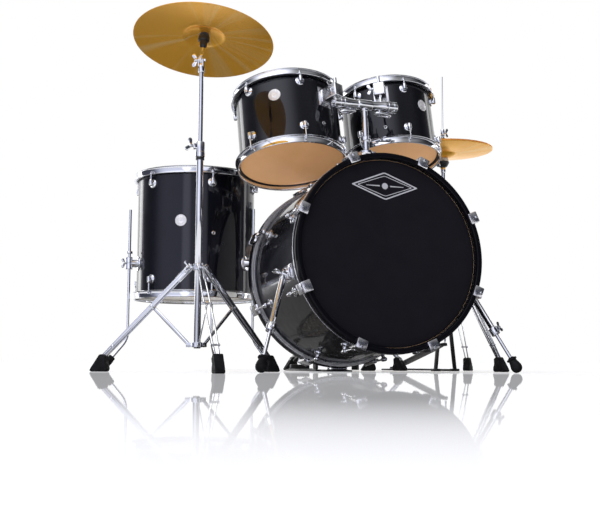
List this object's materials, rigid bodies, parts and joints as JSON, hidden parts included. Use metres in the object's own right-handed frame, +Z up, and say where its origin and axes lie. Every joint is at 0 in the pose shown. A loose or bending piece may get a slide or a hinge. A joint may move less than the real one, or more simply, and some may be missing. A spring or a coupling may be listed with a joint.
{
  "type": "acoustic drum kit",
  "caption": "Acoustic drum kit with bass drum, rack toms, floor tom, snare, crash, hi-hat, stands and pedals.",
  "frame": {"origin": "On the floor, under the middle of the kit's bounding box.", "axes": "+Z is up, -Y faces the audience, +Y faces the drummer, +X runs to the hi-hat side."},
  "size_m": [1.5192, 1.3188, 1.072],
  "materials": {
    "black_lacquer": "gloss black lacquer on a wood shell",
    "chrome": "polished chrome plate",
    "coated_film": "coated white drumhead film",
    "amber_film": "clear film over a natural wood interior",
    "black_film": "smooth black drumhead film",
    "brass": "lathed golden brass",
    "black_metal": "satin black paint",
    "steel": "brushed steel",
    "rubber": "black moulded rubber",
    "felt": "pressed wool felt",
    "natural_wood": "clear-lacquered maple-coloured ply"
  },
  "bodies": {
    "kit": {"bass_shell": "black_lacquer", "bass_front_hoop": "black_lacquer", "bass_batter_hoop": "black_lacquer", "bass_front_head": "black_film", "bass_batter_head": "coated_film", "floor_tom_shell": "black_lacquer", "floor_tom_bottom_hoop": "chrome", "floor_tom_top_hoop": "chrome", "floor_tom_bottom_head": "coated_film", "floor_tom_top_head": "coated_film", "crash_base_tube": "chrome", "hihat_stand": "black_metal", "snare_stand_base": "chrome", "pedal_frame": "black_metal"},
    "spur_left": {"spur_leg_left": "chrome"},
    "spur_left_rod": {"spur_rod_left": "chrome"},
    "spur_right": {"spur_leg_right": "chrome"},
    "spur_right_rod": {"spur_rod_right": "chrome"},
    "holder": {"holder_post": "chrome"},
    "arm_left": {"holder_arm_left": "chrome"},
    "left_tom": {"left_tom_shell": "black_lacquer", "left_tom_bottom_hoop": "chrome", "left_tom_top_hoop": "chrome", "left_tom_bottom_head": "amber_film", "left_tom_top_head": "coated_film"},
    "arm_right": {"holder_arm_right": "chrome"},
    "right_tom": {"right_tom_shell": "black_lacquer", "right_tom_bottom_hoop": "chrome", "right_tom_top_hoop": "chrome", "right_tom_bottom_head": "amber_film", "right_tom_top_head": "coated_film"},
    "floor_leg_1": {"floor_tom_leg_1": "chrome"},
    "floor_leg_2": {"floor_tom_leg_2": "chrome"},
    "floor_leg_3": {"floor_tom_leg_3": "chrome"},
    "crash_hub": {"crash_hub": "chrome"},
    "crash_leg_1": {"crash_leg_1": "chrome"},
    "crash_strut_1": {"crash_strut_1": "chrome"},
    "crash_leg_2": {"crash_leg_2": "chrome"},
    "crash_strut_2": {"crash_strut_2": "chrome"},
    "crash_leg_3": {"crash_leg_3": "chrome"},
    "crash_strut_3": {"crash_strut_3": "chrome"},
    "crash_upper": {"crash_upper_tube": "chrome"},
    "crash_tilter": {"crash_tilter": "chrome"},
    "crash_cymbal": {"crash_cymbal": "brass"},
    "hihat_leg_1": {"hihat_leg_1": "chrome"},
    "hihat_leg_2": {"hihat_leg_2": "chrome"},
    "hihat_leg_3": {"hihat_leg_3": "chrome"},
    "hihat_upper": {"hihat_upper_tube": "chrome", "hihat_bottom_cymbal": "brass"},
    "hihat_rod": {"hihat_pull_rod": "chrome", "hihat_top_cymbal": "brass"},
    "hihat_footboard": {"hihat_footboard": "black_metal"},
    "snare": {"snare_basket": "chrome", "snare_shell": "black_lacquer", "snare_bottom_hoop": "chrome", "snare_top_hoop": "chrome", "snare_bottom_head": "coated_film", "snare_top_head": "coated_film"},
    "pedal_footboard": {"pedal_footboard": "black_metal"},
    "pedal_beater": {"pedal_beater": "steel"}
  },
  "joints": [
    {"name": "spur_left_fold", "type": "hinge", "parent": "kit", "child": "spur_left", "pos_m": [-0.24898, -0.38535, 0.27901], "axis": [0.9393, -0.1439, -0.3116], "range_deg": [0, 85]},
    {"name": "spur_left_extend", "type": "slide", "parent": "spur_left", "child": "spur_left_rod", "axis": [0.3432, 0.3938, 0.8527], "range_m": [0, 0.065]},
    {"name": "spur_right_fold", "type": "hinge", "parent": "kit", "child": "spur_right", "pos_m": [0.3341, -0.38535, 0.27901], "axis": [0.9393, 0.1439, 0.3116], "range_deg": [0, 85]},
    {"name": "spur_right_extend", "type": "slide", "parent": "spur_right", "child": "spur_right_rod", "axis": [-0.3432, 0.3938, 0.8527], "range_m": [0, 0.065]},
    {"name": "holder_height", "type": "slide", "parent": "kit", "child": "holder", "axis": [0, 0.0964, 0.9953], "range_m": [0, 0.05]},
    {"name": "left_tom_tilt", "type": "hinge", "parent": "holder", "child": "arm_left", "pos_m": [-0.0457, -0.30062, 0.82204], "axis": [1, 0, 0], "range_deg": [-2, 15]},
    {"name": "left_tom_swivel", "type": "hinge", "parent": "arm_left", "child": "left_tom", "pos_m": [-0.0457, -0.28548, 0.86139], "axis": [0, 0.2656, 0.9641], "range_deg": [-2, 12]},
    {"name": "right_tom_tilt", "type": "hinge", "parent": "holder", "child": "arm_right", "pos_m": [0.13423, -0.30062, 0.82204], "axis": [1, 0, 0], "range_deg": [-2, 6]},
    {"name": "right_tom_swivel", "type": "hinge", "parent": "arm_right", "child": "right_tom", "pos_m": [0.13423, -0.21483, 0.90271], "axis": [0, 0.2334, 0.9724], "range_deg": [-1, 8]},
    {"name": "floor_leg_1_height", "type": "slide", "parent": "kit", "child": "floor_leg_1", "axis": [0, 0, 1], "range_m": [0, 0.1]},
    {"name": "floor_leg_2_height", "type": "slide", "parent": "kit", "child": "floor_leg_2", "axis": [0, 0, 1], "range_m": [0, 0.1]},
    {"name": "floor_leg_3_height", "type": "slide", "parent": "kit", "child": "floor_leg_3", "axis": [0, 0, 1], "range_m": [0, 0.1]},
    {"name": "crash_legs_fold", "type": "slide", "parent": "kit", "child": "crash_hub", "axis": [0, 0, 1], "range_m": [0, 0.0894]},
    {"name": "crash_leg_1_fold", "type": "hinge", "parent": "crash_hub", "child": "crash_leg_1", "pos_m": [-0.49011, -0.36429, 0.294], "axis": [0.9976, -0.0698, 0], "range_deg": [0, 37]},
    {"name": "crash_strut_1_fold", "type": "hinge", "parent": "kit", "child": "crash_strut_1", "pos_m": [-0.49011, -0.36429, 0.076], "axis": [-0.9976, 0.0698, 0], "range_deg": [0, 37]},
    {"name": "crash_leg_2_fold", "type": "hinge", "parent": "crash_hub", "child": "crash_leg_2", "pos_m": [-0.46687, -0.32983, 0.294], "axis": [-0.4384, 0.8988, 0], "range_deg": [0, 37]},
    {"name": "crash_strut_2_fold", "type": "hinge", "parent": "kit", "child": "crash_strut_2", "pos_m": [-0.46687, -0.32983, 0.076], "axis": [0.4384, -0.8988, 0], "range_deg": [0, 37]},
    {"name": "crash_leg_3_fold", "type": "hinge", "parent": "crash_hub", "child": "crash_leg_3", "pos_m": [-0.50834, -0.32693, 0.294], "axis": [-0.5592, -0.829, 0], "range_deg": [0, 37]},
    {"name": "crash_strut_3_fold", "type": "hinge", "parent": "kit", "child": "crash_strut_3", "pos_m": [-0.50834, -0.32693, 0.076], "axis": [0.5592, 0.829, 0], "range_deg": [0, 37]},
    {"name": "crash_height", "type": "slide", "parent": "kit", "child": "crash_upper", "axis": [0, 0, 1], "range_m": [-0.18, 0.1]},
    {"name": "crash_tilt", "type": "hinge", "parent": "crash_upper", "child": "crash_tilter", "pos_m": [-0.48844, -0.34035, 0.894], "axis": [-0.8177, 0.5757, 0], "range_deg": [-30, 45]},
    {"name": "crash_rock", "type": "hinge", "parent": "crash_tilter", "child": "crash_cymbal", "pos_m": [-0.47663, -0.32358, 0.97958], "axis": [-0.8177, 0.5757, 0], "range_deg": [-5, 5], "stiffness_Nm_per_rad": 2},
    {"name": "hihat_leg_1_fold", "type": "hinge", "parent": "kit", "child": "hihat_leg_1", "pos_m": [0.53596, 0.06627, 0.42], "axis": [0.9744, 0.225, 0], "range_deg": [0, 18]},
    {"name": "hihat_leg_2_fold", "type": "hinge", "parent": "kit", "child": "hihat_leg_2", "pos_m": [0.54811, 0.10602, 0.42], "axis": [-0.682, 0.7314, 0], "range_deg": [0, 18.1]},
    {"name": "hihat_leg_3_fold", "type": "hinge", "parent": "kit", "child": "hihat_leg_3", "pos_m": [0.50761, 0.09667, 0.42], "axis": [-0.2924, -0.9563, 0], "range_deg": [0, 18.1]},
    {"name": "hihat_height", "type": "slide", "parent": "kit", "child": "hihat_upper", "axis": [0, 0, 1], "range_m": [-0.05, 0]},
    {"name": "hihat_open", "type": "slide", "parent": "kit", "child": "hihat_rod", "axis": [0, 0, 1], "range_m": [0, 0.025]},
    {"name": "hihat_pedal", "type": "hinge", "parent": "kit", "child": "hihat_footboard", "pos_m": [0.47027, 0.35078, 0.014], "axis": [-0.9744, -0.225, 0], "range_deg": [0, 5.5]},
    {"name": "snare_height", "type": "slide", "parent": "kit", "child": "snare", "axis": [0, 0, 1], "range_m": [0, 0.08]},
    {"name": "bass_pedal", "type": "hinge", "parent": "kit", "child": "pedal_footboard", "pos_m": [0.04256, 0.24765, 0.03], "axis": [1, 0, 0], "range_deg": [0, 14.1]},
    {"name": "bass_beater", "type": "hinge", "parent": "kit", "child": "pedal_beater", "pos_m": [0.04256, -0.01235, 0.19], "axis": [1, 0, 0], "range_deg": [0, 45.3], "stiffness_Nm_per_rad": 0.9, "springref_deg": -34.38}
  ],
  "couplings": [
    {"joint": "crash_leg_1_fold", "follows": "crash_legs_fold", "rad_per_m": 7.1353},
    {"joint": "crash_strut_1_fold", "follows": "crash_legs_fold", "rad_per_m": 7.1353},
    {"joint": "crash_leg_2_fold", "follows": "crash_legs_fold", "rad_per_m": 7.1353},
    {"joint": "crash_strut_2_fold", "follows": "crash_legs_fold", "rad_per_m": 7.1353},
    {"joint": "crash_leg_3_fold", "follows": "crash_legs_fold", "rad_per_m": 7.1353},
    {"joint": "crash_strut_3_fold", "follows": "crash_legs_fold", "rad_per_m": 7.1353},
    {"joint": "hihat_leg_2_fold", "follows": "hihat_leg_1_fold", "ratio": 1},
    {"joint": "hihat_leg_3_fold", "follows": "hihat_leg_1_fold", "ratio": 1},
    {"joint": "hihat_pedal", "follows": "hihat_open", "rad_per_m": 3.7313},
    {"joint": "bass_beater", "follows": "bass_pedal", "ratio": 3.2}
  ]
}
